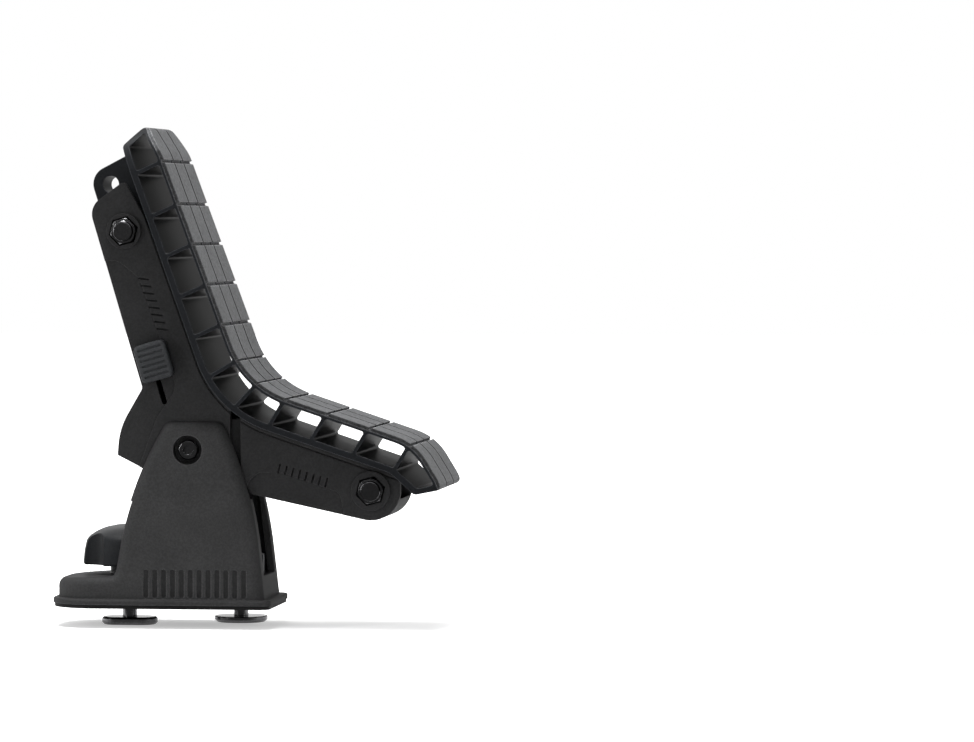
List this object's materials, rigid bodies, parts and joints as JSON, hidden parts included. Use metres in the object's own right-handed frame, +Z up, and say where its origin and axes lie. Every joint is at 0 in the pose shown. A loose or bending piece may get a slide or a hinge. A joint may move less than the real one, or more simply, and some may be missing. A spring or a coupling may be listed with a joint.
{
  "type": "kayak saddle carrier",
  "caption": "Roof rack kayak saddle: a ribbed padded cradle on folding arms, tilting on a moulded base that clamps into a bar's T-track with a hand knob.",
  "frame": {"origin": "on the roof bar's top face, under the base pad, midway between the two T-bolts", "axes": "+X towards the kayak, +Y across the saddle's width, +Z up from the bar"},
  "size_m": [0.2185, 0.084, 0.2726],
  "materials": {
    "housing_plastic": "matte charcoal",
    "arm_plastic": "matte black",
    "knob_plastic": "satin black",
    "slider_plastic": "satin dark grey",
    "washer_plastic": "smooth black",
    "web_rubber": "soft satin black",
    "tread_rubber": "matte grey",
    "pad_rubber": "matte black",
    "black_steel": "gloss black coating",
    "bright_steel": "zinc plated"
  },
  "bodies": {
    "base": {"base_housing": "housing_plastic", "base_pad": "pad_rubber", "lock_sector": "bright_steel", "sector_pins": "bright_steel", "pivot_sleeve": "bright_steel", "pivot_bolt": "black_steel", "pivot_nut": "black_steel", "hub_washers": "washer_plastic", "knob_washer": "washer_plastic"},
    "clamp_knob": {"clamp_knob": "knob_plastic", "knob_insert": "bright_steel"},
    "outer_t_bolt": {"outer_t_bolt": "black_steel"},
    "thumb_wheel": {"thumb_wheel": "knob_plastic", "wheel_insert": "bright_steel"},
    "inner_t_bolt": {"inner_t_bolt": "black_steel"},
    "saddle": {"long_arm": "arm_plastic", "short_arm": "arm_plastic", "saddle_web": "web_rubber", "saddle_tread": "tread_rubber", "upper_bolt": "black_steel", "upper_nut": "black_steel", "upper_spacers": "washer_plastic", "lower_bolt": "black_steel", "lower_nut": "black_steel", "lower_spacers": "washer_plastic"},
    "latch": {"latch_slider": "slider_plastic", "latch_blade": "bright_steel", "latch_screw": "bright_steel"}
  },
  "joints": [
    {"name": "saddle_tilt", "type": "hinge", "parent": "base", "child": "saddle", "pos_m": [0.0062, 0, 0.0865], "axis": [0, 1, 0], "range_deg": [-26, 0]},
    {"name": "latch_slide", "type": "slide", "parent": "saddle", "child": "latch", "axis": [0.2874, 0, -0.9578], "range_m": [0, 0.008]},
    {"name": "clamp_knob_turn", "type": "hinge", "parent": "base", "child": "clamp_knob", "pos_m": [-0.0313, 0, 0], "axis": [0, 0, 1], "range_deg": [-1080, 360]},
    {"name": "outer_t_bolt_lift", "type": "slide", "parent": "base", "child": "outer_t_bolt", "axis": [0, 0, 1], "range_m": [-0.00125, 0.00375]},
    {"name": "thumb_wheel_turn", "type": "hinge", "parent": "base", "child": "thumb_wheel", "pos_m": [0.0308, 0, 0], "axis": [0, 0, 1], "range_deg": [-1080, 360]},
    {"name": "inner_t_bolt_lift", "type": "slide", "parent": "base", "child": "inner_t_bolt", "axis": [0, 0, 1], "range_m": [-0.00125, 0.00375]}
  ],
  "couplings": [
    {"joint": "clamp_knob_turn", "follows": "outer_t_bolt_lift", "rad_per_m": -5026.5},
    {"joint": "thumb_wheel_turn", "follows": "inner_t_bolt_lift", "rad_per_m": -5026.5}
  ]
}
